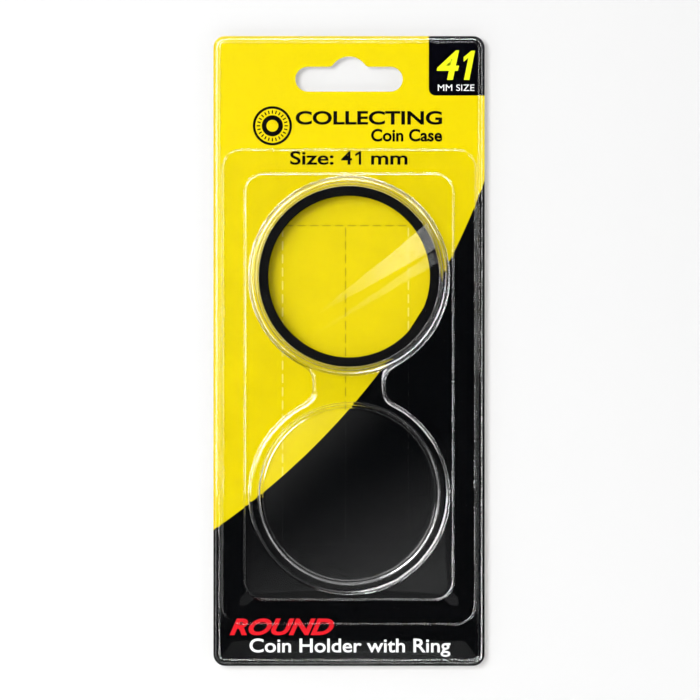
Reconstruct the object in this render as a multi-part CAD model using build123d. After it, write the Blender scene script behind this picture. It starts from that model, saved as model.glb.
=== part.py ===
"""A 41 mm ring-fit coin capsule in its hanging retail pack.

The pack is a printed card with a clear thermoformed blister sealed over its whole front. In the blister's
pockets lie the two acrylic halves of one capsule: the base with its foam ring above, and the lid below.
Both have their window to the front and their open side to the card. Two perforated doors in the card open
backwards.

Frame, in millimetres: X to the right seen from the front, Y towards the back, Z up. The origin is where a
peg bears in the hang slot, on the card's back face. A depth is measured forwards from that face, so the
plane at depth d is y = -d.
"""

from build123d import *
import os

# --- card ---------------------------------------------------------------------------------------------
CARD_W = 69.0
CARD_H = 160.2
CARD_T = 0.5
CARD_R = 3.0
TOP = 5.2  # from the peg's seat up to the card's top edge

# --- hang slot ----------------------------------------------------------------------------------------
SLOT_W = 27.3
SLOT_H = 6.3
DOME_R = 5.0
DOME_RISE = 2.6  # from the slot's upper edge to the peg's seat
SLOT_CORNER_R = 0.8

# --- coin capsule -------------------------------------------------------------------------------------
COIN_R = 20.5
RING_R = 23.0
RING_T = 3.0
RING_GAP = 0.02  # between the ring and the base's window
BASE_R = 24.0
BASE_H = 5.6
SEAT_R = 23.05  # the base's wall around the foam ring
SHOULDER = 4.0  # height of the step that the lid lands on
PLUG_BORE_R = 23.4
LID_R = 23.35
LID_H = 2.8
PLUG_H = 1.6
SKIRT_R = 22.6
WINDOW_T = 1.0
WINDOW_DIP = 0.2  # how far the window lies below the rim that protects it
BASE_WINDOW_R = 23.2
LID_WINDOW_R = 22.0
EDGE_CUT = 0.25
SNAP = 0.08
SNAP_W = 0.3

# --- blister ------------------------------------------------------------------------------------------
SHEET_T = 0.35
SEAL_GAP = 0.05
BEAD_INSET = 0.7
BEAD_W = 1.0
STEP_R = 5.0
STEP_1_W = 64.8
STEP_1_FROM_TOP = (28.6, 149.8)
STEP_2_W = 53.6
STEP_2_FROM_TOP = (34.7, 143.6)
BASE_FROM_TOP = 61.2
LID_FROM_TOP = 116.4
POCKET_R = 25.8
POCKET_DRAFT = 0.9  # how much narrower the tall pocket is at its front
LOW_DRAFT = 0.5
NECK_W = 18.8
NECK_DRAFT = 6.0  # how much narrower the neck is at its front
NECK_FILLET = 2.2
# Depths of the blister's outer face.
FLANGE_D = CARD_T + SEAL_GAP + SHEET_T
BEAD_D = FLANGE_D + 0.5
STEP_1_D = FLANGE_D + 0.8
STEP_2_D = STEP_1_D + 0.8
LOW_D = STEP_2_D + 1.5
TALL_D = LOW_D + 3.0
STEP_TAPER = 30

# --- card doors ---------------------------------------------------------------------------------------
DOOR_FROM_TOP = (48.2, 129.4)
DOOR_W = 16.0
DOORS_X = -0.9  # the centre tear line lies a little left of the card's middle
SLIT = 0.12

REST_D = CARD_T + SEAL_GAP  # depth of the plane that the capsule halves rest on


def z_at(from_top):
    return TOP - from_top


def at_depth(depth):
    """The drawing plane at a depth: x is X, y is Z, and it is extruded towards the front."""
    return Plane.XZ.offset(depth)


def slab(outline, near, far):
    return extrude(at_depth(near) * outline, amount=far - near)


def rounded(width, from_top, radius, grow=0.0):
    """A rounded rectangle between two heights measured down from the top edge."""
    high, low = z_at(from_top[0]), z_at(from_top[1])
    shape = RectangleRounded(width + 2 * grow, high - low + 2 * grow, radius + grow)
    return Pos(0, (high + low) / 2) * shape


def turned(points, z):
    """A solid of revolution about the Y axis at height z, from (radius, depth) points."""
    face = make_face(Polyline(*[(r, -d) for r, d in points], close=True))
    return Pos(0, 0, z) * revolve(face, Axis.Y, 360)


def slot_outline(grow=0.0):
    """The hang slot: a long round-ended slot with a dome over its middle, where the peg bears."""
    straight = Pos(0, -DOME_RISE - SLOT_H / 2) * SlotOverall(SLOT_W, SLOT_H)
    outline = straight + Pos(0, -DOME_R) * Circle(DOME_R)
    corners = [v for v in outline.vertices() if abs(v.Y + DOME_RISE) < 0.01 and abs(v.X) < DOME_R]
    outline = fillet(corners, SLOT_CORNER_R)
    return offset(outline, grow) if grow else outline


def card_outline(inset=0.0):
    return rounded(CARD_W, (0, CARD_H), CARD_R, -inset)


def door_x(side):
    """The fold line and the tear line of one door, for side -1 or 1."""
    return DOORS_X + side * DOOR_W, DOORS_X


def make_card():
    high, low = z_at(DOOR_FROM_TOP[0]), z_at(DOOR_FROM_TOP[1])
    window = Pos(DOORS_X, (high + low) / 2) * Rectangle(2 * DOOR_W + SLIT, high - low + SLIT)
    return slab(card_outline() - slot_outline() - window, 0, CARD_T)


def make_door(side):
    high, low = z_at(DOOR_FROM_TOP[0]), z_at(DOOR_FROM_TOP[1])
    fold, tear = door_x(side)
    panel = Rectangle(DOOR_W - SLIT, high - low - SLIT)
    return slab(Pos((fold + tear) / 2, (high + low) / 2) * panel, 0, CARD_T)


def bead(thick, near, far):
    """The raised bead round the flange, drawn in by the sheet's thickness for its inside."""
    outer = card_outline(BEAD_INSET + thick)
    hole = card_outline(BEAD_INSET + BEAD_W - thick)
    return slab(outer - hole, near, far)


def low_outline(narrow, neck_narrow):
    """The shallow pocket round the lid, with the neck that runs up into the tall pocket."""
    lid = Pos(0, z_at(LID_FROM_TOP)) * Circle(POCKET_R - narrow)
    tall = Pos(0, z_at(BASE_FROM_TOP)) * Circle(POCKET_R - 0.3 - narrow)
    middle = (z_at(LID_FROM_TOP) + z_at(BASE_FROM_TOP)) / 2
    neck = Pos(0, middle) * Rectangle(NECK_W - neck_narrow, POCKET_R)
    outline = lid + tall + neck
    reach = (NECK_W - neck_narrow) / 2
    corners = [v for v in outline.vertices() if abs(abs(v.X) - reach) < 0.01]
    return fillet(corners, NECK_FILLET)


def low_mound(thick):
    """The shallow pocket and neck as a solid, drawn in by the sheet's thickness for its inside."""
    near, far = CARD_T + SEAL_GAP, LOW_D - thick
    foot = at_depth(STEP_2_D - thick) * low_outline(thick, 2 * thick)
    crest = at_depth(far) * low_outline(thick + LOW_DRAFT, 2 * thick + NECK_DRAFT)
    straight = slab(low_outline(thick, 2 * thick), near, STEP_2_D - thick)
    return straight + loft([foot.face(), crest.face()], ruled=True)


def tall_mound(thick):
    near, far = CARD_T + SEAL_GAP, TALL_D - thick
    foot_r = POCKET_R - thick
    z = z_at(BASE_FROM_TOP)
    points = [
        (0, near),
        (foot_r, near),
        (foot_r, STEP_2_D - thick),
        (foot_r - POCKET_DRAFT, far),
        (0, far),
    ]
    return turned(points, z)


def step_mound(width, from_top, far, thick):
    near = CARD_T + SEAL_GAP
    outline = rounded(width, from_top, STEP_R, -thick)
    return extrude(at_depth(near) * outline, amount=far - thick - near, taper=STEP_TAPER)


def mounds(thick):
    """Everything the blister raises from its flange. With thick = 0 it is the outer face."""
    return [
        step_mound(STEP_1_W, STEP_1_FROM_TOP, STEP_1_D, thick),
        step_mound(STEP_2_W, STEP_2_FROM_TOP, STEP_2_D, thick),
        low_mound(thick),
        tall_mound(thick),
        bead(thick, CARD_T + SEAL_GAP, BEAD_D - thick),
    ]


def make_blister():
    body = slab(card_outline() - slot_outline(), CARD_T + SEAL_GAP, FLANGE_D)
    for mound in mounds(0):
        body += mound
    for mound in mounds(SHEET_T):
        body -= mound
    return body


def make_base():
    """The capsule's deep half. Its open side rests on the card and its window faces the front."""
    snap_d = PLUG_H / 2
    step_d = BASE_H - SHOULDER
    points = [
        (0, BASE_H - WINDOW_DIP - WINDOW_T),
        (SEAT_R, BASE_H - WINDOW_DIP - WINDOW_T),
        (SEAT_R, step_d),
        (PLUG_BORE_R, step_d),
        (PLUG_BORE_R, snap_d + SNAP_W),
        (PLUG_BORE_R + SNAP, snap_d),
        (PLUG_BORE_R, snap_d - SNAP_W),
        (PLUG_BORE_R, 0),
        (BASE_R - EDGE_CUT, 0),
        (BASE_R, EDGE_CUT),
        (BASE_R, BASE_H - EDGE_CUT),
        (BASE_R - EDGE_CUT, BASE_H),
        (BASE_WINDOW_R, BASE_H),
        (BASE_WINDOW_R - WINDOW_DIP, BASE_H - WINDOW_DIP),
        (0, BASE_H - WINDOW_DIP),
    ]
    return turned([(r, REST_D + d) for r, d in points], z_at(BASE_FROM_TOP))


def make_ring():
    """The foam ring that grips the coin. It lies against the inside of the base's window."""
    far = REST_D + BASE_H - WINDOW_DIP - WINDOW_T - RING_GAP
    near = far - RING_T
    points = [
        (COIN_R, near),
        (RING_R - EDGE_CUT, near),
        (RING_R, near + EDGE_CUT),
        (RING_R, far - EDGE_CUT),
        (RING_R - EDGE_CUT, far),
        (COIN_R, far),
    ]
    return turned(points, z_at(BASE_FROM_TOP))


def make_lid():
    """The capsule's shallow half. Its skirt rests on the card and its window faces the front."""
    snap_d = PLUG_H / 2
    points = [
        (0, LID_H - WINDOW_DIP - WINDOW_T),
        (SKIRT_R, LID_H - WINDOW_DIP - WINDOW_T),
        (SKIRT_R, 0),
        (LID_R - EDGE_CUT, 0),
        (LID_R, EDGE_CUT),
        (LID_R, snap_d - SNAP_W),
        (LID_R + SNAP, snap_d),
        (LID_R, snap_d + SNAP_W),
        (LID_R, LID_H - EDGE_CUT),
        (LID_R - EDGE_CUT, LID_H),
        (LID_WINDOW_R, LID_H),
        (LID_WINDOW_R - WINDOW_DIP, LID_H - WINDOW_DIP),
        (0, LID_H - WINDOW_DIP),
    ]
    return turned([(r, REST_D + d) for r, d in points], z_at(LID_FROM_TOP))


def main():
    os.makedirs("parts", exist_ok=True)
    nodes = {
        "card": make_card(),
        "left_door": make_door(-1),
        "right_door": make_door(1),
        "blister": make_blister(),
        "capsule_base": make_base(),
        "foam_ring": make_ring(),
        "capsule_lid": make_lid(),
    }
    for name, shape in nodes.items():
        export_step(shape, f"parts/{name}.step")


main()
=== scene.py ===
"""A 41 mm coin capsule in its hanging pack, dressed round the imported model.

Sizes here are in millimetres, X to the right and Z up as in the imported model, and a depth is measured
forwards from the card's back face. place() turns them into the frame's metres.
"""

import math
import bpy
import bmesh
import numpy as np
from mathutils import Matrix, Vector, geometry


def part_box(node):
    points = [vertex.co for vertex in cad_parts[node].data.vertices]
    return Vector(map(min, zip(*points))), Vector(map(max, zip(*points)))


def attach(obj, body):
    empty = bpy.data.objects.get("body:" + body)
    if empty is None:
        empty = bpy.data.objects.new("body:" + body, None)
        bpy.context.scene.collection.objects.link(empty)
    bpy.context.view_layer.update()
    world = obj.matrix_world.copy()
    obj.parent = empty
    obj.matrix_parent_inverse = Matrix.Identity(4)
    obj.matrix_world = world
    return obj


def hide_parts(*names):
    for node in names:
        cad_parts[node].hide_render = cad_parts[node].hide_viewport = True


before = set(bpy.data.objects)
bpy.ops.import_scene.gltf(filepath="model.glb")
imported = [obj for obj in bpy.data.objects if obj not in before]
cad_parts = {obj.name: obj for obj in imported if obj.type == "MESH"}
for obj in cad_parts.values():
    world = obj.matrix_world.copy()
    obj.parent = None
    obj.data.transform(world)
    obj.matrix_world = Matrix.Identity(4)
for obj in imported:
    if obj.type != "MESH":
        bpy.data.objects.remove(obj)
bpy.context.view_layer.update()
MM = 0.001


def node_box(node):
    low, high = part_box(node)
    return [v / MM for v in low], [v / MM for v in high]


CARD_LOW, CARD_HIGH = node_box("card")
CARD_W = CARD_HIGH[0] - CARD_LOW[0]
CARD_T = CARD_HIGH[1] - CARD_LOW[1]
TOP = CARD_HIGH[2]
MIDDLE_Z = (CARD_HIGH[2] + CARD_LOW[2]) / 2
BLISTER_FRONT = -node_box("blister")[0][1]
REST_D = -node_box("capsule_base")[1][1]  # depth of the plane that both halves rest on
BASE_Z = sum(corner[2] for corner in node_box("capsule_base")) / 2
LID_Z = sum(corner[2] for corner in node_box("capsule_lid")) / 2

# --- card ---
CORNER_R = 3.0
CARD_BOX = (CARD_W, CARD_LOW[2], TOP, CORNER_R)  # width, low, high and corner radius
SLOT_W = 27.3
SLOT_H = 6.3
DOME_R = 5.0
DOME_RISE = 2.6
DOME_BLEND_R = 1.6
SLIT_W = 0.0015  # half the width of a cut in the tear lines
TIE_GAP = 0.0006  # half of what is left open at the ties between the cuts
CUT_PITCH = 3.43
CUT_SHARE = 0.67  # how much of the pitch is cut
CUT_BAND_W = 0.19  # how far to each side of a cut the card's colour is changed: painted shade beside the middle and cross cuts, a painted highlight beside the fold cuts

# --- printed fields on the card's front ---
FIELD_R = 185.2  # the yellow field is inside this circle, and the black one outside it
FIELD_CENTRE = (-139.4, 32.2)
BADGE_LEFT = 20.3
BADGE_BOTTOM = -9.9
BADGE_R = 1.7
FIELD_BLUR = 0.02  # half the width of a printed field's soft edge

# --- blister ---
SHEET_T = 0.35
SEAL_GAP = 0.05
FLANGE_D = CARD_T + SEAL_GAP + SHEET_T
BEAD_INSET = 0.5
BEAD_W = 1.3
BEAD_H = 0.5
STEP_R = 5.0
STEP_H = 0.8
OUTER_STEP = (64.8, TOP - 149.8, TOP - 28.6, STEP_R)  # width, low, high and corner radius
INNER_STEP = (53.6, TOP - 143.6, TOP - 34.7, STEP_R)
POCKET_R = 25.8
LOW_H = 1.5
TALL_H = BLISTER_FRONT - FLANGE_D - 2 * STEP_H
NECK_HALF = 9.4
NECK_BLEND = 2.8
NECK_FROM = 32  # the angle from straight up, in degrees, where the lid's pocket gives way to the neck
NECK_END = 19.0  # how far under the base's middle the neck's line ends, well inside the tall pocket
JOIN_BLEND = 0.35  # how softly the tall pocket's wall meets the neck
SLOPE_REACH = 0.004  # how far to each side the height is read for a normal

# --- capsule ---
COIN_R = 20.5
RING_R = 23.0
RING_T = 3.0
BASE_R = 24.0
BASE_H = 5.6
SEAT_R = 23.05
SHOULDER = 4.0
PLUG_BORE_R = 23.4
LID_R = 23.35
LID_H = 2.8
PLUG_H = 1.6
SKIRT_R = 22.6
WINDOW_T = 1.0
WINDOW_DIP = 0.2
BASE_WINDOW_R = 23.2
LID_WINDOW_R = 22.0
SNAP = 0.08
SNAP_W = 0.3
FOAM_EDGE_R = 0.22
FOAM_WAVES = [(3, 0.7, 0.02), (7, 2.1, 0.012)]  # how many round the ring, phase, and height in mm
FOAM_GRAIN = (41, 2, 0.006)  # how many round the ring, turn with depth, and height in mm
FOAM_SET_BACK = 0.03
FOAM_STRAY = 0.6  # how much of all that the foam's faces take

# --- fineness of the meshes ---
ROUND_STEPS = 288
CORNER_STEPS = 16
SLOT_STEPS = 14
CREASE = 40  # faces that meet at more degrees than this have a sharp edge between them
NEARLY_STRAIGHT = 88  # corners whose half angle is more degrees than this aren't rounded
GUARD = 0.01  # a margin that keeps lines and points apart
WELD = 1e-5  # points nearer than this are one


# ===== Mesh helpers =====


def place(x, depth, z):
    """A point of the frame, in metres, from millimetres and a depth in front of the card's back."""
    return Vector((x * MM, -depth * MM, z * MM))


def turn(centre, radius, start, end, steps):
    """Points along an arc, with both its ends. Angles are in degrees from +X towards +Z."""
    angles = np.radians(np.linspace(start, end, steps + 1))
    return [(centre[0] + radius * math.cos(a), centre[1] + radius * math.sin(a)) for a in angles]


def circle(centre, radius, steps=ROUND_STEPS):
    return turn(centre, radius, 0, 360, steps)[:-1]


def round_box(width, low, high, radius, inset=0.0):
    """A rounded rectangle centred on X = 0, drawn in by inset."""
    reach = width / 2 - radius
    r = radius - inset
    corners = [(reach, high - radius, 0), (-reach, high - radius, 90), (-reach, low + radius, 180)]
    corners.append((reach, low + radius, 270))
    points = []
    for x, z, start in corners:
        points += turn((x, z), r, start, start + 90, CORNER_STEPS)
    return points


def in_box(x, z, width, low, high, radius):
    """How far a point lies inside a rounded rectangle, in mm, and negative outside it."""
    dx = abs(x) - (width / 2 - radius)
    dz = abs(z - (low + high) / 2) - ((high - low) / 2 - radius)
    outside = math.hypot(max(dx, 0.0), max(dz, 0.0))
    return radius - outside - min(max(dx, dz), 0.0)


def slot_points():
    """The hang slot, anticlockwise: a round-ended slot with a dome over its middle."""
    r = SLOT_H / 2
    middle_z = -DOME_RISE - r
    reach = SLOT_W / 2 - r
    # The blend arc lies above the slot's edge and outside the dome, and touches both.
    blend_z = -DOME_RISE + DOME_BLEND_R
    blend_x = math.sqrt((DOME_R + DOME_BLEND_R) ** 2 - (blend_z + DOME_R) ** 2)
    lean = math.degrees(math.atan2(blend_z + DOME_R, blend_x))
    points = turn((reach, middle_z), r, -90, 90, SLOT_STEPS)
    points += turn((blend_x, blend_z), DOME_BLEND_R, -90, -180 + lean, SLOT_STEPS)
    points += turn((0, -DOME_R), DOME_R, lean, 180 - lean, SLOT_STEPS * 2)
    points += turn((-blend_x, blend_z), DOME_BLEND_R, -lean, -90, SLOT_STEPS)
    points += turn((-reach, middle_z), r, 90, 270, SLOT_STEPS)
    return points


def inside(point, loop):
    """True if the point lies in the closed loop."""
    x, z = point
    odd = False
    for (x0, z0), (x1, z1) in zip(loop, loop[1:] + loop[:1]):
        if (z0 > z) != (z1 > z) and x < x0 + (z - z0) * (x1 - x0) / (z1 - z0):
            odd = not odd
    return odd


def triangulate(closed, opened=()):
    """2D points and triangles from closed loops and open lines, over their whole hull."""
    points, edges = [], []
    for line, shut in [(c, True) for c in closed] + [(o, False) for o in opened]:
        first = len(points)
        points += line
        edges += [(first + i, first + i + 1) for i in range(len(line) - 1)]
        if shut:
            edges.append((len(points) - 1, first))
    made = geometry.delaunay_2d_cdt([Vector(p) for p in points], edges, [], 0, WELD)
    return [tuple(v) for v in made[0]], made[2]


def oriented(points, triangles):
    """The triangles, each anticlockwise in X and Z."""
    turned = []
    for a, b, c in triangles:
        (ax, az), (bx, bz), (cx, cz) = points[a], points[b], points[c]
        area = (bx - ax) * (cz - az) - (bz - az) * (cx - ax)
        turned.append((a, b, c) if area > 0 else (a, c, b))
    return turned


def centre_of(points, triangle):
    return [sum(points[i][k] for i in triangle) / 3 for k in (0, 1)]


def cut_out(outline, holes):
    """2D points, and the anticlockwise triangles of the area between an outline and its holes."""
    points, triangles = triangulate([outline, *holes])
    kept = []
    for tri in triangles:
        centre = centre_of(points, tri)
        if inside(centre, outline) and not any(inside(centre, hole) for hole in holes):
            kept.append(tri)
    return points, oriented(points, kept)


def rim_edges(triangles):
    """The directed edges that only one triangle has."""
    edges = {}
    for tri in triangles:
        for a, b in zip(tri, tri[1:] + tri[:1]):
            edges[(a, b)] = True
    return [(a, b) for a, b in edges if (b, a) not in edges]


def new_piece(name, mesh, body, slot, *materials):
    """A piece of the object from a mesh in the frame's metres."""
    piece = bpy.data.objects.new(name, mesh)
    bpy.context.scene.collection.objects.link(piece)
    for material in materials:
        mesh.materials.append(material)
    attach(piece, body)
    return piece


def smooth_by_angle(mesh):
    """Smooth shading, with a sharp edge wherever two faces meet at more than the crease angle."""
    bm = bmesh.new()
    bm.from_mesh(mesh)
    bmesh.ops.recalc_face_normals(bm, faces=bm.faces)
    for face in bm.faces:
        face.smooth = True
    for edge in bm.edges:
        edge.smooth = edge.calc_face_angle(0.0) < math.radians(CREASE)
    bm.to_mesh(mesh)
    bm.free()


def filleted(corners, steps=5):
    """A closed outline from (x, y, radius) corners, each rounded to its radius."""
    points = []
    for i, (x, y, radius) in enumerate(corners):
        here = Vector((x, y))
        before = (Vector(corners[i - 1][:2]) - here).normalized()
        after = (Vector(corners[(i + 1) % len(corners)][:2]) - here).normalized()
        half = before.angle(after, math.pi) / 2
        if radius == 0 or half > math.radians(NEARLY_STRAIGHT):
            points.append((x, y))
            continue
        centre = here + (before + after).normalized() * radius / math.sin(half)
        start = here + before * radius / math.tan(half) - centre
        end = here + after * radius / math.tan(half) - centre
        sweep = start.angle_signed(end)
        first = math.atan2(start.y, start.x)
        # A point just before the arc and one just after it keep the flat faces' shading flat.
        points.append(tuple(centre + start + before * GUARD))
        for k in range(steps + 1):
            a = first - sweep * k / steps
            points.append((centre.x + radius * math.cos(a), centre.y + radius * math.sin(a)))
        points.append(tuple(centre + end + after * GUARD))
    return points


def lathe(name, outline, z, wobble=None):
    """A mesh turned about the Y axis at height z, from an outline of (radius, depth) points.

    wobble, if given, says how far outwards a point strays at a radius, depth and angle.
    """
    mesh = bpy.data.meshes.new(name)
    bm = bmesh.new()
    angles = [2 * math.pi * i / ROUND_STEPS for i in range(ROUND_STEPS)]
    rings = []
    for r, depth in outline:
        if r < 1e-6:
            rings.append([bm.verts.new(place(0, depth, z))] * ROUND_STEPS)
            continue
        ring = []
        for a in angles:
            strayed = r + (wobble(r, depth, a) if wobble else 0.0)
            ring.append(bm.verts.new(place(strayed * math.cos(a), depth, z + strayed * math.sin(a))))
        rings.append(ring)
    for this, following in zip(rings, rings[1:] + rings[:1]):
        for i in range(ROUND_STEPS):
            j = (i + 1) % ROUND_STEPS
            quad = list(dict.fromkeys([this[i], this[j], following[j], following[i]]))
            if len(quad) > 2:
                bm.faces.new(quad)
    bm.to_mesh(mesh)
    bm.free()
    smooth_by_angle(mesh)
    return mesh


# ===== Shader helpers =====


class Nodes:
    """A node tree, with short calls for the nodes that the finishes and the light are made of."""

    def __init__(self, tree):
        self.tree = tree

    def node(self, kind, **settings):
        made = self.tree.nodes.new(kind)
        for key, value in settings.items():
            setattr(made, key, value)
        return made

    def feed(self, socket, value):
        if isinstance(value, bpy.types.NodeSocket):
            self.tree.links.new(value, socket)
        else:
            socket.default_value = value

    def math(self, operation, a, b=0.0, c=0.0):
        made = self.node("ShaderNodeMath", operation=operation)
        for socket, value in zip(made.inputs, (a, b, c)):
            self.feed(socket, value)
        return made.outputs[0]

    def vector(self, operation, a, b):
        made = self.node("ShaderNodeVectorMath", operation=operation)
        self.feed(made.inputs[0], a)
        self.feed(made.inputs[1], b)
        return made.outputs["Value" if operation in ("DOT_PRODUCT", "DISTANCE") else "Vector"]

    def step(self, value, low, high, to_low=0.0, to_high=1.0):
        """A smooth ramp from to_low to to_high as value goes from low to high."""
        made = self.node("ShaderNodeMapRange", interpolation_type="SMOOTHSTEP")
        ends = {"From Min": low, "From Max": high, "To Min": to_low, "To Max": to_high}
        for key, number in ends.items():
            made.inputs[key].default_value = number
        self.feed(made.inputs["Value"], value)
        return made.outputs["Result"]

    def choose(self, factor, a, b):
        """Number a where the factor is 0 and b where it is 1."""
        made = self.node("ShaderNodeMix")
        # The node's sockets for plain numbers are inputs 0, 2 and 3 and output 0.
        for index, value in ((0, factor), (2, a), (3, b)):
            self.feed(made.inputs[index], value)
        return made.outputs[0]


class Shader(Nodes):
    """A material under construction."""

    def __init__(self, name):
        self.material = bpy.data.materials.new(name)
        self.material.use_nodes = True
        super().__init__(self.material.node_tree)
        self.bsdf = self.tree.nodes["Principled BSDF"]
        self.output = self.tree.nodes["Material Output"]
        self.coords = self.node("ShaderNodeTexCoord").outputs["Object"]

    def set(self, **values):
        """Sets the shader's own sockets: metallic=0.1 sets Metallic, and so on."""
        for key, value in values.items():
            self.feed(self.bsdf.inputs[key.replace("_", " ").title().replace("Ior", "IOR")], value)

    def axes(self):
        made = self.node("ShaderNodeSeparateXYZ")
        self.feed(made.inputs[0], self.coords)
        return made.outputs

    def noise(self, scale, detail=2.0, rough=0.5, stretch=None):
        """Noise with a grain of 1 / scale, in metres, and finer along an axis by its stretch."""
        made = self.node("ShaderNodeTexNoise")
        made.inputs["Scale"].default_value = scale
        made.inputs["Detail"].default_value = detail
        made.inputs["Roughness"].default_value = rough
        coords = self.vector("MULTIPLY", self.coords, stretch) if stretch else self.coords
        self.feed(made.inputs["Vector"], coords)
        return made.outputs["Fac"]

    def cells(self, scale):
        """The distance to the nearest of scattered points, about 1 / scale metres apart."""
        made = self.node("ShaderNodeTexVoronoi")
        made.inputs["Scale"].default_value = scale
        self.feed(made.inputs["Vector"], self.coords)
        return made.outputs["Distance"]

    def mix(self, factor, a, b):
        """Colour a where the factor is 0 and b where it is 1."""
        made = self.node("ShaderNodeMix", data_type="RGBA")
        # The node's colour sockets are inputs 6 and 7 and output 2.
        self.feed(made.inputs[0], factor)
        self.feed(made.inputs[6], (*a, 1) if isinstance(a, tuple) else a)
        self.feed(made.inputs[7], (*b, 1) if isinstance(b, tuple) else b)
        return made.outputs[2]

    def bump(self, height, strength, distance):
        """Relief from a height of 0 to 1, as deep as distance in metres."""
        made = self.node("ShaderNodeBump")
        made.inputs["Strength"].default_value = strength
        made.inputs["Distance"].default_value = distance
        self.feed(made.inputs["Height"], height)
        self.feed(self.bsdf.inputs["Normal"], made.outputs[0])

    def see_through_where(self, factor):
        """The surface lets everything straight through where the factor is 1."""
        mixer = self.node("ShaderNodeMixShader")
        self.feed(mixer.inputs[0], factor)
        self.feed(mixer.inputs[1], self.bsdf.outputs[0])
        self.feed(mixer.inputs[2], self.node("ShaderNodeBsdfTransparent").outputs[0])
        self.feed(self.output.inputs["Surface"], mixer.outputs[0])


# ===== Materials =====

YELLOW = (0.668, 0.540, 0.0002)
YELLOW_DEEP = (0.430, 0.345, 0.0006)  # in the dots of the screen
# The pale colour beside the fold cuts: a painted highlight.
FOLD_CUT_PAINTED_HIGHLIGHT = (0.85, 0.78, 0.30)
BLACK = (0.0010, 0.0012, 0.0015)
BADGE_BLACK = (0.0008, 0.0008, 0.0022)
SCREEN_PITCH = 0.36
TEAR_CUT_PAINTED_SHADE = -0.45  # painted shade beside the middle and cross cuts: what it adds to the yellow's brightness of 1
FOLD_CUT_HIGHLIGHT_SHARE = 0.36
VARNISH_SPECULAR = 0.12

BOARD_DARK = (0.60, 0.58, 0.545)
BOARD_PALE = (0.68, 0.665, 0.63)
BOARD_FIBRE = (0.33, 0.31, 0.28)
BOARD_CUT_LINE = (0.24, 0.22, 0.19)
PLY_DARK = (0.48, 0.45, 0.40)
PLY_PALE = (0.72, 0.70, 0.66)

FOAM_DARK = (0.0014, 0.0014, 0.0015)
FOAM_PALE = (0.006, 0.006, 0.0065)

# Inks: the colour, and the colour of its mottles.
BLACK_INK = ((0.0016, 0.0016, 0.002), (0.003, 0.003, 0.0035))
RED_INK = ((0.665, 0.012, 0.020), (0.60, 0.009, 0.016))
WHITE_INK = ((0.86, 0.86, 0.86), (0.80, 0.80, 0.80))
LIME_INK = ((0.74, 0.83, 0.01), (0.68, 0.77, 0.01))

# Clear plastics: the index of refraction, and how many ripples there are in a metre.
PET = (1.5, 45)
ACRYLIC = (1.49, 30)
RIPPLE = 0.05  # how strong the ripples are
CLEAR_SPECULAR = (0.5, 0.5, 0.5, 1)


def print_screen(s):
    """The fine diagonal dot screen that the yellow is printed with, from 0 to 1."""
    axes = s.axes()
    wave = 2 * math.pi / (SCREEN_PITCH * MM) / math.sqrt(2)
    one = s.math("SINE", s.math("MULTIPLY", s.math("ADD", axes[0], axes[2]), wave))
    two = s.math("SINE", s.math("MULTIPLY", s.math("SUBTRACT", axes[0], axes[2]), wave))
    return s.math("MULTIPLY_ADD", s.math("MULTIPLY", one, two), 0.5, 0.5)


def box_mask(s, low_x, low_z, high_x, high_z, radius):
    """1 inside a rounded rectangle of the card's face and 0 outside, with a soft edge."""
    axes = s.axes()
    half = [(high_x - low_x) / 2 - radius, (high_z - low_z) / 2 - radius]
    middle = [(high_x + low_x) / 2, (high_z + low_z) / 2]
    over = []
    for axis, centre, reach in ((axes[0], middle[0], half[0]), (axes[2], middle[1], half[1])):
        off = s.math("ABSOLUTE", s.math("SUBTRACT", axis, centre * MM))
        over.append(s.math("MAXIMUM", s.math("SUBTRACT", off, reach * MM), 0.0))
    squares = s.math("ADD", s.math("MULTIPLY", over[0], over[0]), s.math("MULTIPLY", over[1], over[1]))
    off = s.math("SQRT", squares)
    return s.step(off, (radius - FIELD_BLUR) * MM, (radius + FIELD_BLUR) * MM, 1.0, 0.0)


def dashes(s, across, places, along, start, end, count):
    """1 beside the cuts of the dashed lines at places, which run from start to end, and 0 elsewhere."""
    nearest = 1.0
    for spot in places:
        off = s.math("ABSOLUTE", s.math("SUBTRACT", across, spot * MM))
        nearest = s.math("MINIMUM", off, nearest)
    thin = s.step(nearest, 0.5 * CUT_BAND_W * MM, 1.3 * CUT_BAND_W * MM, 1.0, 0.0)
    pitch = (end - start) / count * MM
    turns = s.math("MULTIPLY", s.math("SUBTRACT", along, start * MM), 2 * math.pi / pitch)
    edge = math.cos(math.pi * (1 - CUT_SHARE))
    cut = s.step(s.math("COSINE", turns), edge - 0.06, edge + 0.06, 1.0, 0.0)
    off = s.math("ABSOLUTE", s.math("SUBTRACT", along, (start + end) / 2 * MM))
    within = s.step(off, (end - start) / 2 * MM, ((end - start) / 2 + 0.05) * MM, 1.0, 0.0)
    return s.math("MULTIPLY", s.math("MULTIPLY", thin, cut), within)


def tear_cut_band(s):
    """1 beside the cuts in the middle and across, where the front's yellow gets painted shade and the
    back is darker.
    """
    left, tear, right, low, high = door_limits()
    axes = s.axes()
    upright = dashes(s, axes[0], (tear,), axes[2], low, high, cut_count(high - low))
    level = dashes(s, axes[2], (low, high), axes[0], left, right, 2 * cut_count(tear - left))
    return s.math("MAXIMUM", upright, level)


def fold_cut_band(s):
    """1 beside the cuts of the two folds, where the front's yellow is paled as a painted highlight and
    the back is darker.
    """
    left, tear, right, low, high = door_limits()
    axes = s.axes()
    return dashes(s, axes[0], (left, right), axes[2], low, high, cut_count(high - low))


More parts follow.
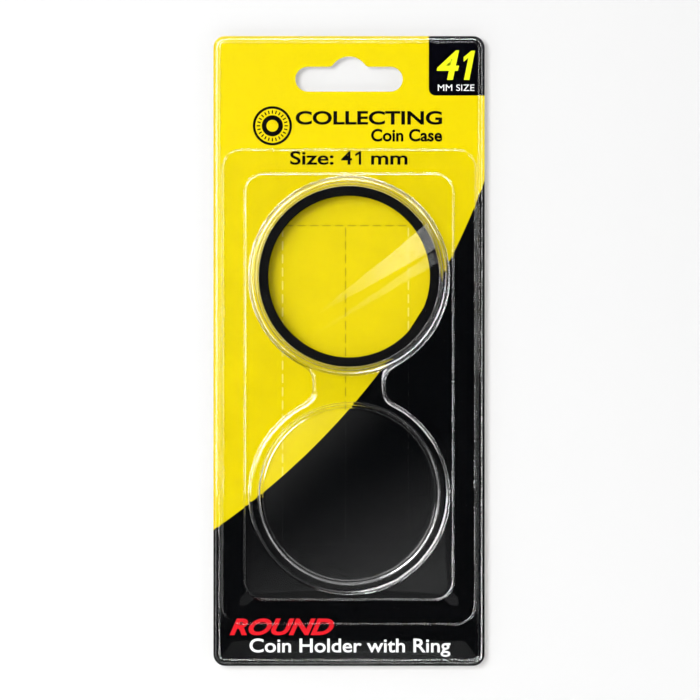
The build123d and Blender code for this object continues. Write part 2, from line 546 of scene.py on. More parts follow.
def print_material():
    """The card's varnished front: a yellow field with a dot screen, a black field and the badge."""
    s = Shader("card_print")
    axes = s.axes()
    flat = s.node("ShaderNodeCombineXYZ")
    s.feed(flat.inputs[0], axes[0])
    s.feed(flat.inputs[1], axes[2])
    away = s.vector("DISTANCE", flat.outputs[0], (FIELD_CENTRE[0] * MM, FIELD_CENTRE[1] * MM, 0))
    black_field = s.step(away, (FIELD_R - FIELD_BLUR) * MM, (FIELD_R + FIELD_BLUR) * MM)
    width, low, high, radius = OUTER_STEP
    screened = box_mask(s, -width / 2, low, width / 2, high, radius)
    dots = s.math("MULTIPLY", print_screen(s), s.math("MULTIPLY", screened, s.noise(90, 2)))
    yellow = s.mix(dots, YELLOW, YELLOW_DEEP)
    mottle_and_cut_shade = s.step(s.noise(3500, 3, 0.6), 0.25, 0.75, 0.94, 1.02)
    # Painted shade darkens the yellow beside the middle and cross cuts.
    mottle_and_cut_shade = s.math("MULTIPLY", mottle_and_cut_shade, s.math("MULTIPLY_ADD", tear_cut_band(s), TEAR_CUT_PAINTED_SHADE, 1.0))
    speckled_with_cut_shade = s.node("ShaderNodeHueSaturation")
    s.feed(speckled_with_cut_shade.inputs["Value"], mottle_and_cut_shade)
    s.feed(speckled_with_cut_shade.inputs["Color"], yellow)
    # A painted highlight pales the yellow beside the fold cuts.
    field = s.mix(s.math("MULTIPLY", fold_cut_band(s), FOLD_CUT_HIGHLIGHT_SHARE), speckled_with_cut_shade.outputs[0], FOLD_CUT_PAINTED_HIGHLIGHT)
    fields = s.mix(black_field, field, BLACK)
    badge = box_mask(s, BADGE_LEFT, BADGE_BOTTOM, CARD_W, TOP + CARD_W, BADGE_R)
    s.set(base_color=s.mix(badge, fields, BADGE_BLACK))
    s.set(roughness=s.step(s.noise(1800, 3), 0.3, 0.7, 0.14, 0.2), specular_ior_level=VARNISH_SPECULAR)
    s.bump(s.noise(2600, 3, 0.6), 0.15, 0.01 * MM)
    return s.material


def board_material():
    """The uncoated back of the card: pale grey board with darker fibres."""
    s = Shader("card_back_board")
    fibres = s.step(s.noise(900, 4, 0.7, (1, 1, 5)), 0.60, 0.70)
    clouds = s.step(s.noise(160, 4), 0.3, 0.7)
    base = s.mix(clouds, BOARD_DARK, BOARD_PALE)
    worn = s.mix(s.math("MULTIPLY", fibres, 0.35), base, BOARD_FIBRE)
    # The back is darker along the cut lines.
    cut_lines = s.math("MAXIMUM", tear_cut_band(s), fold_cut_band(s))
    s.set(base_color=s.mix(s.math("MULTIPLY", cut_lines, 0.55), worn, BOARD_CUT_LINE))
    s.set(roughness=s.step(s.noise(2000, 2), 0.3, 0.7, 0.78, 0.92), specular_ior_level=0.25)
    s.bump(s.noise(1500, 5, 0.7), 0.35, 0.03 * MM)
    return s.material


def cut_edge_material():
    """The card's cut edge, where its plies show as fine lines."""
    s = Shader("card_cut_edge")
    plies = s.noise(700, 3, 0.6, (1, 14, 1))
    s.set(base_color=s.mix(s.step(plies, 0.4, 0.6), PLY_DARK, PLY_PALE), roughness=0.9)
    s.bump(plies, 0.5, 0.03 * MM)
    return s.material


def ink_material(name, colour, mottled):
    """Printed ink, a little uneven, with the card's varnish over it."""
    s = Shader(name)
    s.set(base_color=s.mix(s.step(s.noise(2400, 3), 0.35, 0.75), colour, mottled))
    s.set(roughness=s.step(s.noise(1800, 3), 0.3, 0.7, 0.14, 0.22), specular_ior_level=VARNISH_SPECULAR)
    return s.material


def clear_material(name, ior, ripples):
    """Clear plastic with a faint ripple from the mould. Light from lamps passes it straight."""
    s = Shader(name)
    s.set(base_color=(1, 1, 1, 1), transmission_weight=1.0, ior=ior, specular_tint=CLEAR_SPECULAR)
    s.set(roughness=s.step(s.noise(350, 3), 0.4, 0.8, 0.0, 0.012))
    s.bump(s.noise(ripples, 2), RIPPLE, 0.02 * MM)
    s.see_through_where(s.node("ShaderNodeLightPath").outputs["Is Shadow Ray"])
    return s.material


def foam_material():
    """Black closed-cell foam: matt, with small open cells in its cut faces."""
    s = Shader("black_foam")
    cells = s.step(s.cells(2600), 0.0, 0.55)
    coarse = s.noise(1400, 4, 0.65)
    height = s.math("MULTIPLY", cells, coarse)
    # Darker where the relief is low, in the cells' hollows: painted shade.
    s.set(base_color=s.mix(height, FOAM_DARK, FOAM_PALE))
    s.set(roughness=s.step(coarse, 0.3, 0.7, 0.75, 0.95), specular_ior_level=0.06)
    s.bump(height, 0.7, 0.08 * MM)
    return s.material


# ===== Card and doors =====


def cut_count(length):
    return round(length / CUT_PITCH)


def tear_line(start, end, aside):
    """Points along a tear line. The cuts are set back along aside, and the ties all but touch it."""
    count = cut_count(math.dist(start, end))
    points = [(start[0] + aside[0] * TIE_GAP, start[1] + aside[1] * TIE_GAP)]
    for i in range(count):
        cut_from = (i + (1 - CUT_SHARE) / 2) / count
        cut_to = (i + (1 + CUT_SHARE) / 2) / count
        cut = ((cut_from, TIE_GAP), (cut_from, SLIT_W), (cut_to, SLIT_W), (cut_to, TIE_GAP))
        for share, back in cut:
            x = start[0] + (end[0] - start[0]) * share + aside[0] * back
            z = start[1] + (end[1] - start[1]) * share + aside[1] * back
            points.append((x, z))
    return points


def door_limits():
    """Fold line, tear line and fold line in X, and the doors' lower and upper ends."""
    left_low, left_high = node_box("left_door")
    right_low, right_high = node_box("right_door")
    slit = (right_low[0] - left_high[0]) / 2
    tear = (right_low[0] + left_high[0]) / 2
    return left_low[0] - slit, tear, right_high[0] + slit, left_low[2] - slit, left_high[2] + slit


def door_outline(near_x, far_x):
    """A door's outline between two tear lines, set back inwards all round."""
    low, high = door_limits()[3:]
    points = tear_line((near_x, low), (far_x, low), (0, 1))
    points += tear_line((far_x, low), (far_x, high), (-1, 0))
    points += tear_line((far_x, high), (near_x, high), (0, -1))
    points += tear_line((near_x, high), (near_x, low), (1, 0))
    return points


def door_window():
    """The opening that the doors leave in the card, set back outwards all round."""
    left, tear, right, low, high = door_limits()
    points = tear_line((left, low), (tear, low), (0, -1))
    points += tear_line((tear, low), (right, low), (0, -1))
    points += tear_line((right, low), (right, high), (1, 0))
    points += tear_line((right, high), (tear, high), (0, 1))
    points += tear_line((tear, high), (left, high), (0, 1))
    points += tear_line((left, high), (left, low), (-1, 0))
    return points


def board_mesh(name, outline, holes):
    """A flat sheet of card: printed front, plain back and cut edges, each with its own material."""
    points, front = cut_out(outline, holes)
    count = len(points)
    verts = [place(x, CARD_T, z) for x, z in points] + [place(x, 0, z) for x, z in points]
    back = [(a + count, c + count, b + count) for a, b, c in front]
    edges = [(b, a, a + count, b + count) for a, b in rim_edges(front)]
    mesh = bpy.data.meshes.new(name)
    mesh.from_pydata(verts, [], front + back + edges)
    kinds = [0] * len(front) + [1] * len(back) + [2] * len(edges)
    mesh.polygons.foreach_set("material_index", kinds)
    mesh.validate()
    return mesh


def make_board():
    finishes = (print_material(), board_material(), cut_edge_material())
    outline = round_box(*CARD_BOX)
    left, tear, right = door_limits()[:3]
    made = {
        "card": board_mesh("printed_card", outline, [slot_points(), door_window()]),
        "left_door": board_mesh("left_card_door", door_outline(left, tear), []),
        "right_door": board_mesh("right_card_door", door_outline(tear, right), []),
    }
    for node, mesh in made.items():
        piece = new_piece(mesh.name, mesh, node, "printed_card", *finishes)
        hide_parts(node)


# ===== Printed words and signs =====

INK_T = 0.012
CAP_SAMPLE = "H"  # the capital whose height sets a line's size
GLYPH_HALF = 0.5  # the built-in font's letters are extruded by this much to each side

# Lines of print: the baseline and the height of the capitals.
HEADING_LINE = (-17.3, 3.45)
SUBHEADING_LINE = (-21.6, 3.2)
SIZE_LINE = (-27.5, 3.45)
BADGE_LINE = (-5.9, 7.4)
BADGE_UNIT_LINE = (-8.7, 1.6)
WORD_LINE = (-147.2, 4.2)
BOTTOM_LINE = (-151.6, 3.5)
SIZE_STROKE = 0.62
BADGE_STROKE = 1.35
BADGE_SLANT = 0.2
WORD_SLANT = 0.35

# The coin sign: outer and inner radii of its rim, strokes and disc.
SIGN_CENTRE = (-19.5, -17.6)
SIGN_RIM = (5.0, 4.35)
SIGN_STROKE = (3.95, 3.1)
SIGN_DISC = (2.7, 1.5)
SIGN_STROKES = 24
SIGN_STROKE_HALF = 0.16


def glyphs(text, weight, slant):
    """A flat mesh of the text in the built-in font, and its box."""
    curve = bpy.data.curves.new(text, "FONT")
    curve.body = text
    curve.offset = weight
    curve.shear = slant
    curve.extrude = GLYPH_HALF
    curve.resolution_u = 6
    holder = bpy.data.objects.new(text, curve)
    bpy.context.scene.collection.objects.link(holder)
    mesh = bpy.data.meshes.new_from_object(holder.evaluated_get(bpy.context.evaluated_depsgraph_get()))
    bpy.data.objects.remove(holder)
    bpy.data.curves.remove(curve)
    corners = np.array([v.co for v in mesh.vertices])
    return mesh, corners.min(0), corners.max(0)


def lettering(name, text, span, line, ink, weight, slant=0.0):
    """Words that fill the span from left to right, sized and placed on the line by their capitals."""
    left, right = span
    baseline, cap = line
    foot, head = (corner[1] for corner in glyphs(CAP_SAMPLE, weight, slant)[1:])
    mesh, low, high = glyphs(text, weight, slant)
    grow_x = (right - left) / (high[0] - low[0])
    grow_z = cap / (head - foot)
    for v in mesh.vertices:
        x = left + (v.co.x - low[0]) * grow_x
        depth = CARD_T + (v.co.z + GLYPH_HALF) * INK_T
        v.co = place(x, depth, baseline + (v.co.y - foot) * grow_z)
    mesh.name = name
    new_piece(name, mesh, "card", "printed_card", ink)


def flat_shapes(name, shapes, ink):
    """Printed shapes from (outline, holes) pairs, as thick as a layer of ink."""
    bm = bmesh.new()
    for outline, holes in shapes:
        points, kept = cut_out(outline, holes)
        top = [bm.verts.new(place(x, CARD_T + INK_T, z)) for x, z in points]
        bottom = [bm.verts.new(place(x, CARD_T, z)) for x, z in points]
        for a, b, c in kept:
            bm.faces.new((top[a], top[b], top[c]))
            bm.faces.new((bottom[a], bottom[c], bottom[b]))
        for a, b in rim_edges(kept):
            bm.faces.new((top[b], top[a], bottom[a], bottom[b]))
    bmesh.ops.delete(bm, geom=[v for v in bm.verts if not v.link_faces], context="VERTS")
    mesh = bpy.data.meshes.new(name)
    bm.to_mesh(mesh)
    bm.free()
    new_piece(name, mesh, "card", "printed_card", ink)


def coin_sign(ink):
    """A plain sign of a coin: a rim with strokes inside it and a smaller open disc."""
    rim = (circle(SIGN_CENTRE, SIGN_RIM[0], 96), [circle(SIGN_CENTRE, SIGN_RIM[1], 96)])
    disc = (circle(SIGN_CENTRE, SIGN_DISC[0], 72), [circle(SIGN_CENTRE, SIGN_DISC[1], 48)])
    shapes = [rim, disc]
    far, near = SIGN_STROKE
    half = SIGN_STROKE_HALF
    corners = [(near, -half), (far, -half), (far, half), (near, half)]
    for i in range(SIGN_STROKES):
        a = 2 * math.pi * i / SIGN_STROKES
        along, across = Vector((math.cos(a), math.sin(a))), Vector((-math.sin(a), math.cos(a)))
        bar = [tuple(Vector(SIGN_CENTRE) + along * u + across * v) for u, v in corners]
        shapes.append((bar, []))
    flat_shapes("printed_coin_sign", shapes, ink)


def numeral_one(name, span, line, stroke, ink, slant=0.0):
    """A numeral 1 with a flag, which the built-in font's 1 lacks."""
    left, right = span
    baseline, cap = line
    w = right - left
    corners = [(w - stroke, 0), (w, 0), (w, cap), (w - 0.7 * stroke, cap), (0, 0.78 * cap)]
    corners += [(0.1 * w, 0.62 * cap), (w - stroke, 0.76 * cap)]
    outline = [(left + x + slant * z, baseline + z) for x, z in corners]
    flat_shapes(name, [(outline, [])], ink)


def make_print():
    """The words and signs. Each has its span from left to right, and what its strokes are widened by."""
    black = ink_material("black_ink", *BLACK_INK)
    red = ink_material("red_ink", *RED_INK)
    white = ink_material("white_ink", *WHITE_INK)
    lime = ink_material("lime_ink", *LIME_INK)
    coin_sign(black)
    lettering("printed_heading", "COLLECTING", (-13.6, 23.7), HEADING_LINE, black, 0.028)
    lettering("printed_subheading", "Coin Case", (5.6, 23.7), SUBHEADING_LINE, black, 0.03)
    lettering("printed_size_word", "Size:", (-15.0, -3.9), SIZE_LINE, black, 0.02)
    lettering("printed_size_four", "4", (-2.0, 0.8), SIZE_LINE, black, 0.02)
    numeral_one("printed_size_one", (1.5, 3.1), SIZE_LINE, SIZE_STROKE, black)
    lettering("printed_size_unit", "mm", (5.6, 14.9), SIZE_LINE, black, 0.02)
    lettering("printed_badge_four", "4", (22.3, 28.0), BADGE_LINE, lime, 0.02, BADGE_SLANT)
    numeral_one("printed_badge_one", (28.0, 30.6), BADGE_LINE, BADGE_STROKE, lime, BADGE_SLANT)
    lettering("printed_badge_unit", "MM SIZE", (22.6, 31.9), BADGE_UNIT_LINE, white, 0.0)
    lettering("printed_word", "ROUND", (-30.4, -3.8), WORD_LINE, red, 0.035, WORD_SLANT)
    lettering("printed_line", "Coin Holder with Ring", (-25.3, 25.8), BOTTOM_LINE, white, 0.014)


# ===== Blister =====


class Wall:
    """The section of a formed wall: a foot arc, a flank that leans by degrees and a crest arc."""

    def __init__(self, height, lean, foot_r, crest_r):
        a = math.radians(lean)
        self.height, self.foot_r, self.crest_r = height, foot_r, crest_r
        self.flank = (height - (foot_r + crest_r) * (1 - math.cos(a))) / math.sin(a)
        self.foot_w, self.crest_w = foot_r * math.sin(a), crest_r * math.sin(a)
        self.width = self.foot_w + self.flank * math.cos(a) + self.crest_w
        self.slope = math.tan(a)

    def at(self, s):
        """The height at s mm inwards from the foot."""
        if s <= 0:
            return 0.0
        if s < self.foot_w:
            return self.foot_r - math.sqrt(self.foot_r**2 - s**2)
        left = self.width - s
        if left <= 0:
            return self.height
        if left < self.crest_w:
            return self.height - self.crest_r + math.sqrt(self.crest_r**2 - left**2)
        foot_h = self.foot_r - math.sqrt(self.foot_r**2 - self.foot_w**2)
        return foot_h + (s - self.foot_w) * self.slope

    def stops(self, arc_steps=6, flank_steps=3):
        """The distances from the foot at which the mesh has a line."""
        foot_sweep = np.linspace(0, math.asin(self.foot_w / self.foot_r), arc_steps)
        crest_sweep = np.linspace(math.asin(self.crest_w / self.crest_r), 0, arc_steps)
        foot = [self.foot_r * math.sin(t) for t in foot_sweep]
        crest = [self.width - self.crest_r * math.sin(t) for t in crest_sweep]
        flank = list(np.linspace(foot[-1], crest[0], flank_steps + 1))[1:-1]
        return foot + flank + crest


# Height, lean in degrees, foot radius and crest radius.
OUTER_STEP_WALL = Wall(STEP_H, 60, 0.1, 0.2)
INNER_STEP_WALL = Wall(STEP_H, 60, 0.12, 0.5)
LOW_WALL = Wall(LOW_H, 74, 0.35, 1.1)
TALL_WALL = Wall(TALL_H, 82, 0.45, 0.9)
BEAD_WALL = Wall(BEAD_H, 60, 0.05, 0.55)


def soft_max(a, b, k):
    """The larger of a and b, blended over k where they are close."""
    if k <= 0:
        return max(a, b)
    near = max(k - abs(a - b), 0.0) / k
    return max(a, b) + near * near * k / 4


def neck_depth(x, z):
    """How far a point lies inside the two pockets and the neck between them."""
    lower = POCKET_R - math.hypot(x, z - LID_Z)
    upper = POCKET_R - math.hypot(x, z - BASE_Z)
    if z < LID_Z or z > BASE_Z:
        return max(lower, upper)
    neck = NECK_HALF - abs(x)
    return soft_max(soft_max(lower, neck, NECK_BLEND), upper, NECK_BLEND)


def relief(x, z):
    """The blister's outer height over its flange."""
    bead_in = in_box(x, z, *CARD_BOX) - BEAD_INSET
    height = BEAD_WALL.at(min(bead_in, BEAD_W - bead_in))
    height += OUTER_STEP_WALL.at(in_box(x, z, *OUTER_STEP))
    height += INNER_STEP_WALL.at(in_box(x, z, *INNER_STEP))
    tall = TALL_WALL.at(POCKET_R - math.hypot(x, z - BASE_Z))
    low = LOW_WALL.at(neck_depth(x, z))
    return height + soft_max(low, tall, min(JOIN_BLEND, low, tall))


def neck_line(depth):
    """The line round the lid's pocket and up the neck, at a depth inside its foot, as one open line."""
    def solve(point_at, far):
        """The point between 0 and far that is at the depth, found by halving."""
        near = 0.0
        for _ in range(40):
            middle = (near + far) / 2
            if neck_depth(*point_at(middle)) > depth:
                near = middle
            else:
                far = middle
        return point_at(near)

    side = []
    for degrees in np.linspace(180, NECK_FROM, 150):
        a = math.radians(degrees)
        side.append(solve(lambda t: (t * math.sin(a), LID_Z + t * math.cos(a)), POCKET_R + 6))
    for z in np.linspace(side[-1][1], BASE_Z - NECK_END, 90)[1:]:
        side.append(solve(lambda t: (t, z), POCKET_R))
    return [(-x, z) for x, z in reversed(side[1:])] + side


def blister_lines():
    """The closed and open lines that the blister's mesh follows: its edges and its walls' bends."""
    closed = [round_box(*CARD_BOX), slot_points()]
    for s in BEAD_WALL.stops(5, 1):
        closed.append(round_box(*CARD_BOX, BEAD_INSET + s))
        if s < BEAD_W / 2 - GUARD:
            closed.append(round_box(*CARD_BOX, BEAD_INSET + BEAD_W - s))
    closed += [round_box(*OUTER_STEP, s) for s in OUTER_STEP_WALL.stops()]
    closed += [round_box(*INNER_STEP, s) for s in INNER_STEP_WALL.stops()]
    closed += [circle((0, BASE_Z), POCKET_R - s) for s in TALL_WALL.stops(8, 5)]
    return closed, [neck_line(s) for s in LOW_WALL.stops(8, 3)]


def outward(x, z):
    """The outward unit normal of the blister's outer face, in the frame's axes."""
    reach = SLOPE_REACH
    dx = (relief(x + reach, z) - relief(x - reach, z)) / (2 * reach)
    dz = (relief(x, z + reach) - relief(x, z - reach)) / (2 * reach)
    return Vector((-dx, -1.0, -dz)).normalized()


def make_blister(material):
    points, triangles = triangulate(*blister_lines())
    slot = slot_points()
    kept = []
    for tri in oriented(points, triangles):
        centre = centre_of(points, tri)
        if in_box(*centre, *CARD_BOX) > 0 and not inside(centre, slot):
            kept.append(tri)
    normals = [outward(x, z) for x, z in points]
    outer = [place(x, FLANGE_D + relief(x, z), z) for x, z in points]
    # A formed sheet thins where it is drawn down, so its back is its front moved straight back.
    inner = [place(x, FLANGE_D - SHEET_T + relief(x, z), z) for x, z in points]
    count = len(points)
    faces, shading = [], []
    for a, b, c in kept:
        faces.append((a, b, c))
        shading += [normals[a], normals[b], normals[c]]
        faces.append((a + count, c + count, b + count))
        shading += [-normals[a], -normals[c], -normals[b]]
    for a, b in rim_edges(kept):
        faces.append((b, a, a + count, b + count))
        flat = (outer[a] - outer[b]).cross(inner[a] - outer[a]).normalized()
        shading += [flat] * 4
    mesh = bpy.data.meshes.new("clear_blister")
    mesh.from_pydata(outer + inner, [], faces)
    mesh.polygons.foreach_set("use_smooth", [True] * len(faces))
    mesh.normals_split_custom_set(shading)
    piece = new_piece("clear_blister", mesh, "blister", "clear_sheet", material)
    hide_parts("blister")


# ===== Capsule =====


def capsule_mesh(name, corners, z):
    """A turned half from corners of (radius, height over its rim, corner radius)."""
    return lathe(name, filleted([(r, REST_D + d, round_r) for r, d, round_r in corners]), z)


def make_base(material):
    snap_d = PLUG_H / 2
    step_d = BASE_H - SHOULDER
    floor_d = BASE_H - WINDOW_DIP - WINDOW_T
    corners = [
        (0, floor_d, 0),
        (SEAT_R, floor_d, 0.15),
        (SEAT_R, step_d, 0.06),
        (PLUG_BORE_R, step_d, 0.06),
        (PLUG_BORE_R, snap_d + SNAP_W, 0.1),
        (PLUG_BORE_R + SNAP, snap_d, 0.1),
        (PLUG_BORE_R, snap_d - SNAP_W, 0.1),
        (PLUG_BORE_R, 0, 0.12),
        (BASE_R, 0, 0.2),
        (BASE_R, BASE_H, 0.6),
        (BASE_WINDOW_R, BASE_H, 0.15),
        (BASE_WINDOW_R - WINDOW_DIP, BASE_H - WINDOW_DIP, 0.3),
        (0, BASE_H - WINDOW_DIP, 0),
    ]
    mesh = capsule_mesh("capsule_base_half", corners, BASE_Z)
    piece = new_piece("capsule_base_half", mesh, "capsule_base", "clear_acrylic", material)
    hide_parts("capsule_base")


def make_lid(material):
    snap_d = PLUG_H / 2
    floor_d = LID_H - WINDOW_DIP - WINDOW_T
    corners = [
        (0, floor_d, 0),
        (SKIRT_R, floor_d, 0.15),
        (SKIRT_R, 0, 0.12),
        (LID_R, 0, 0.2),
        (LID_R, snap_d - SNAP_W, 0.1),
        (LID_R + SNAP, snap_d, 0.1),
        (LID_R, snap_d + SNAP_W, 0.1),
        (LID_R, LID_H, 0.75),
        (LID_WINDOW_R, LID_H, 0.4),
        (LID_WINDOW_R - WINDOW_DIP, LID_H - WINDOW_DIP, 0.25),
        (0, LID_H - WINDOW_DIP, 0),
    ]
    mesh = capsule_mesh("capsule_lid_half", corners, LID_Z)
    piece = new_piece("capsule_lid_half", mesh, "capsule_lid", "clear_acrylic", material)
    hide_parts("capsule_lid")


def foam_wobble(r, depth, angle):
    """How far the cut foam strays outwards from a true ring, in mm: always into its own bulk."""
    slow = sum(math.sin(count * angle + phase) * height for count, phase, height in FOAM_WAVES)
    count, turning, height = FOAM_GRAIN
    fine = math.sin(count * angle + depth * turning) * height
    side = -1 if r > (COIN_R + RING_R) / 2 else 1
    return side * (FOAM_SET_BACK + slow + fine) * FOAM_STRAY


def make_ring():
    far = -node_box("foam_ring")[0][1]
    near = far - RING_T
    around = [(COIN_R, near), (RING_R, near), (RING_R, far), (COIN_R, far)]
    outline = filleted([(r, depth, FOAM_EDGE_R) for r, depth in around], 6)
    mesh = lathe("black_foam_ring", outline, BASE_Z, foam_wobble)
    piece = new_piece("black_foam_ring", mesh, "foam_ring", "black_foam", foam_material())
    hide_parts("foam_ring")


# ===== Camera, light and stage =====

FRAME_W = 178.15  # what the camera sees across, at the card's face
LENS = 200.0
SENSOR = 36.0
CAMERA_OFF = 0.25  # how far right of and above the card's middle the camera stands
CLIP_START = 0.01  # metres
WALL_GAP = 2.0
FLOOR_GAP = 62.0
# The stage, in metres: the wall's half width, foot and head, and the floor's front and half width.
WALL_HALF = 0.5
WALL_Z = (-0.5, 0.4)
FLOOR_FRONT = -0.4
FLOOR_HALF = 3.0
WALL_PALE = (0.98, 0.98, 0.98)
FLOOR_PALE = (0.95, 0.95, 0.95)
CLEAR_BOUNCES = 24  # how many see-through surfaces a ray may pass
AMBIENT = 0.67
DARK_FRONT = (40, 18)  # outer and inner half angle of the dark part of the room
KEY_POWER = 5.0
KEY_SIZE = 0.42
KEY_AT = (-0.38, -0.88, 0.12)
# Bright panels that the clear parts reflect: direction, outer and inner half angle, and strength. They
# stand to the sides, so that rounded edges catch them and flat faces don't.
PANELS = [
    ((-0.60, -0.55, 0.58), 28, 18, 44.0),
    ((0.05, -0.38, 0.92), 24, 16, 44.0),
    ((0.66, -0.38, 0.64), 24, 14, 36.0),
    ((0.92, -0.38, 0.00), 20, 12, 9.0),
    ((0.68, -0.30, -0.66), 46, 32, 44.0),
    ((0.00, -0.38, -0.92), 20, 12, 5.0),
]
# A strip light close beside the pack's left edge. Only what lies near it reflects much of it.
STRIP_X = -38.0
STRIP_D = (2.0, 8.0)
STRIP_Z = (8.0, -112.0)
STRIP_GLOW = 30.0
# Panels mirrored in the flat clear faces: an outline to fill, where the glow starts, where it is full,
# and its strength there.
WIDE_GLARE = ([(-10.4, -67.2), (22.6, -48.7), (21.0, -41.7)], (-10.4, -67.2), (23, -45), 4.6)
THIN_GLARE = ([(-13.0, -73.6), (22.9, -52.5), (21.7, -49.9)], (-13.0, -73.6), (23, -51), 1.8)
OUTER_SHEEN = (round_box(*OUTER_STEP), (0, -100), (14, -145), 0.32)
INNER_SHEEN = (round_box(*INNER_STEP), (2, -106), (20, -142), 0.45)
LID_SHEEN = (circle((0, LID_Z), LID_WINDOW_R, 64), (0, -106), (-18, -88), 0.4)
GLARE_GAP = 0.002  # how far behind the camera the panels stand, in metres


def make_camera():
    camera = bpy.data.objects.new("camera", bpy.data.cameras.new("camera"))
    camera.data.lens = LENS
    camera.data.sensor_width = SENSOR
    camera.location = place(CAMERA_OFF, CARD_T + FRAME_W * LENS / SENSOR, MIDDLE_Z + CAMERA_OFF)
    camera.rotation_euler = (math.pi / 2, 0, 0)
    camera.data.clip_start = CLIP_START
    bpy.context.scene.collection.objects.link(camera)
    bpy.context.scene.camera = camera


def cone(nodes, direction, axis, outer, inner, strength):
    """Strength inside a soft cone of directions about an axis, given its half angles in degrees."""
    dot = nodes.vector("DOT_PRODUCT", direction, Vector(axis).normalized())
    low, high = math.cos(math.radians(outer)), math.cos(math.radians(inner))
    return nodes.step(dot, low, high, 0.0, strength)


def make_world():
    """White to the camera, soft for lighting, and a few bright panels on black for reflections."""
    world = bpy.data.worlds.new("studio")
    bpy.context.scene.world = world
    world.use_nodes = True
    nodes = Nodes(world.node_tree)
    direction = nodes.node("ShaderNodeTexCoord").outputs["Generated"]
    path = nodes.node("ShaderNodeLightPath").outputs
    panels = 0.0
    for panel in PANELS:
        panels = nodes.math("ADD", cone(nodes, direction, *panel), panels)
    # The room in front of the pack is dark, so that the clear parts' flat faces send nothing back.
    room = nodes.math("SUBTRACT", 1.0, cone(nodes, direction, (0, -1, 0), *DARK_FRONT, 1.0))
    ambient = nodes.math("MULTIPLY", room, AMBIENT)
    glossy = nodes.choose(path["Is Glossy Ray"], ambient, panels)
    seen = nodes.choose(path["Is Transmission Ray"], glossy, room)
    background = nodes.tree.nodes["Background"]
    nodes.feed(background.inputs["Strength"], nodes.choose(path["Is Camera Ray"], seen, 1.0))
    background.inputs["Color"].default_value = (1, 1, 1, 1)


def make_key_light():
    light = bpy.data.lights.new("key", "AREA")
    light.size = KEY_SIZE
    light.energy = KEY_POWER
    key = bpy.data.objects.new("key", light)
    key.location = Vector(KEY_AT)
    key.visible_glossy = False
    aim = place(0, 0, MIDDLE_Z) - key.location
    key.rotation_euler = aim.to_track_quat("-Z", "Y").to_euler()
    bpy.context.scene.collection.objects.link(key)


def stage_piece(name, mesh, material):
    """Something beside the object: it is seen, or seen mirrored, but isn't part of the object."""
    mesh.materials.append(material)
    thing = bpy.data.objects.new(name, mesh)
    bpy.context.scene.collection.objects.link(thing)
    return thing


def mirrored(x, z):
    """The point just behind the camera that it sees mirrored at x and z of the pack's flat faces."""
    eye = bpy.context.scene.camera.location
    return Vector((2 * x * MM - eye.x, eye.y - GLARE_GAP, 2 * z * MM - eye.z))


def make_glare(name, outline, start, end, strength):
    """A lit panel that shows in the flat clear faces inside an outline, and grows from start to end."""
    mesh = bpy.data.meshes.new(name)
    mesh.from_pydata([mirrored(x, z) for x, z in outline], [], [range(len(outline))])
    s = Shader(name)
    s.tree.nodes.remove(s.bsdf)
    start, end = mirrored(*start), mirrored(*end)
    along = (end - start).normalized()
    gone = s.vector("DOT_PRODUCT", s.vector("SUBTRACT", s.coords, start), along)
    glow = s.node("ShaderNodeEmission")
    s.feed(glow.inputs["Strength"], s.step(gone, 0, (end - start).length, 0, strength))
    both = s.node("ShaderNodeAddShader")
    s.feed(both.inputs[0], glow.outputs[0])
    s.feed(both.inputs[1], s.node("ShaderNodeBsdfTransparent").outputs[0])
    s.feed(s.output.inputs["Surface"], both.outputs[0])
    panel = stage_piece(name, mesh, s.material)
    panel.visible_camera = panel.visible_diffuse = panel.visible_shadow = False


def make_glares():
    make_glare("wide_glare", *WIDE_GLARE)
    make_glare("thin_glare", *THIN_GLARE)
    make_glare("outer_sheen", *OUTER_SHEEN)
    make_glare("inner_sheen", *INNER_SHEEN)
    make_glare("lid_sheen", *LID_SHEEN)


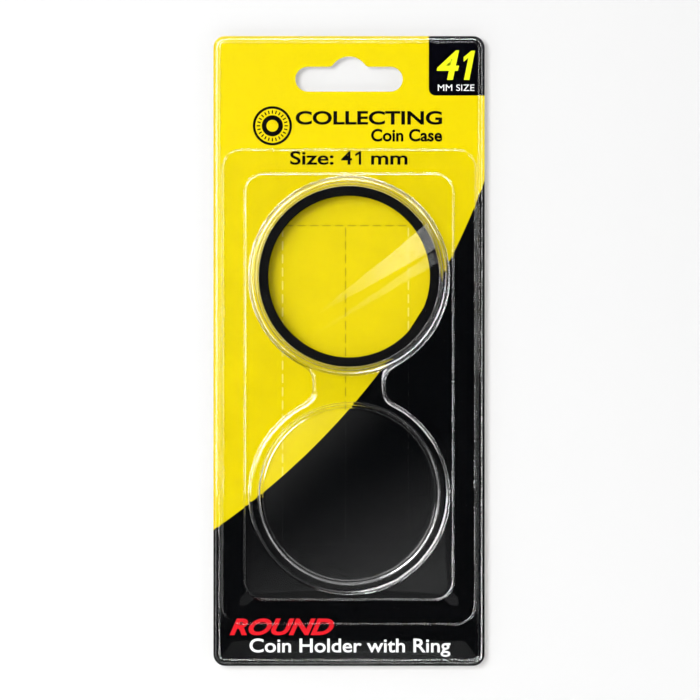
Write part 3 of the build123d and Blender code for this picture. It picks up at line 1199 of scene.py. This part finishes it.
def make_strip():
    """The strip light: seen in reflections only."""
    corners = [place(STRIP_X, d, z) for z in STRIP_Z for d in STRIP_D]
    mesh = bpy.data.meshes.new("strip_light")
    mesh.from_pydata(corners, [], [(0, 1, 3, 2)])
    s = Shader("strip_light")
    s.set(base_color=(0, 0, 0, 1), emission_color=(1, 1, 1, 1), emission_strength=STRIP_GLOW)
    # Not sampled as a lamp, so that it doesn't light the card.
    s.material.cycles.emission_sampling = "NONE"
    strip = stage_piece("strip_light", mesh, s.material)
    strip.visible_camera = strip.visible_diffuse = False
    strip.visible_transmission = strip.visible_shadow = False


def plain_plane(name, corners, colour, one_sided):
    """A matt stage surface through four corners. A one-sided one can't be seen from behind."""
    mesh = bpy.data.meshes.new(name)
    mesh.from_pydata(corners, [], [(0, 1, 2, 3)])
    s = Shader(name)
    s.set(base_color=(*colour, 1), roughness=1.0, specular_ior_level=0.0)
    if one_sided:
        s.see_through_where(s.node("ShaderNodeNewGeometry").outputs["Backfacing"])
    return stage_piece(name, mesh, s.material)


def make_stage():
    wall_y = WALL_GAP * MM
    foot, head = WALL_Z
    wall_xz = [(-WALL_HALF, foot), (WALL_HALF, foot), (WALL_HALF, head), (-WALL_HALF, head)]
    backdrop = plain_plane("pale_wall", [(x, wall_y, z) for x, z in wall_xz], WALL_PALE, True)
    # It takes the pack's shadow but keeps no light from the card's back.
    backdrop.visible_diffuse = backdrop.visible_shadow = False
    floor_z = (CARD_LOW[2] - FLOOR_GAP) * MM
    front, back = FLOOR_FRONT, FLOOR_HALF
    floor_xy = [(-FLOOR_HALF, front), (FLOOR_HALF, front), (FLOOR_HALF, back), (-FLOOR_HALF, back)]
    ground = plain_plane("pale_floor", [(x, y, floor_z) for x, y in floor_xy], FLOOR_PALE, False)
    # The pack's flat faces don't mirror it, so black print stays black from the side.
    ground.visible_glossy = False


def main():
    scene = bpy.context.scene
    scene.view_settings.view_transform = "Standard"
    scene.cycles.transparent_max_bounces = CLEAR_BOUNCES
    make_camera()
    make_world()
    make_key_light()
    make_glares()
    make_strip()
    make_stage()
    make_board()
    make_print()
    make_blister(clear_material("clear_pet", *PET))
    acrylic = clear_material("clear_acrylic", *ACRYLIC)
    make_base(acrylic)
    make_ring()
    make_lid(acrylic)


main()
